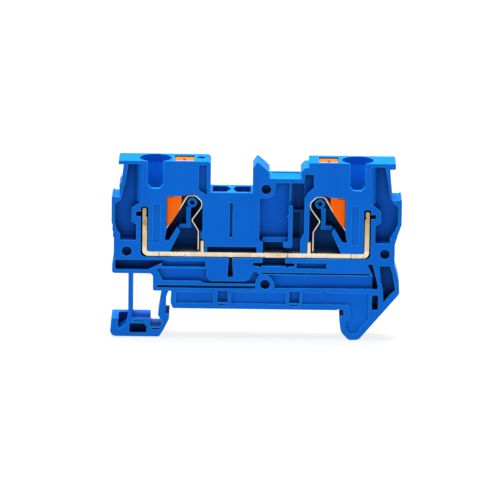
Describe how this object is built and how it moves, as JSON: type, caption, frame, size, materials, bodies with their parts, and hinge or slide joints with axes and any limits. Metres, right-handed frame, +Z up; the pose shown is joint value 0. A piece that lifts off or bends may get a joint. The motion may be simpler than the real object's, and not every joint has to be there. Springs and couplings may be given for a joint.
{
  "type": "rail terminal block",
  "caption": "Narrow feed-through terminal block for a top-hat rail, with push-in conductor entries, push buttons and a snap foot.",
  "frame": {"origin": "middle of the underside that rests on the rail: midway between the rail's edges, and midway through the block's width", "axes": "+X along the block towards the fixed hook; +Z up, away from the rail; -Y out of the open side of the housing"},
  "size_m": [0.0557, 0.0072, 0.035],
  "materials": {
    "blue_polyamide": "satin moulded plastic",
    "tinned_copper": "tin-plated copper strip",
    "spring_steel": "spring steel strip",
    "orange_polyamide": "satin moulded plastic"
  },
  "bodies": {
    "housing": {"housing": "blue_polyamide", "current_bar": "tinned_copper", "clamping_spring_left": "spring_steel", "clamping_spring_right": "spring_steel", "foot_leg": "blue_polyamide", "foot_arm": "blue_polyamide"},
    "push_button_left": {"push_button_left": "orange_polyamide"},
    "push_button_right": {"push_button_right": "orange_polyamide"},
    "snap_foot": {"snap_foot": "blue_polyamide"}
  },
  "joints": [
    {"name": "push_button_left_slide", "type": "slide", "parent": "housing", "child": "push_button_left", "axis": [0, 0, -1], "range_m": [0, 0.002], "stiffness_N_per_m": 1500, "deforming": ["clamping_spring_left"]},
    {"name": "push_button_right_slide", "type": "slide", "parent": "housing", "child": "push_button_right", "axis": [0, 0, -1], "range_m": [0, 0.002], "stiffness_N_per_m": 1500, "deforming": ["clamping_spring_right"]},
    {"name": "snap_foot_slide", "type": "slide", "parent": "housing", "child": "snap_foot", "axis": [-1, 0, 0], "range_m": [0, 0.0016], "stiffness_N_per_m": 4000, "deforming": ["foot_leg", "foot_arm"]}
  ]
}
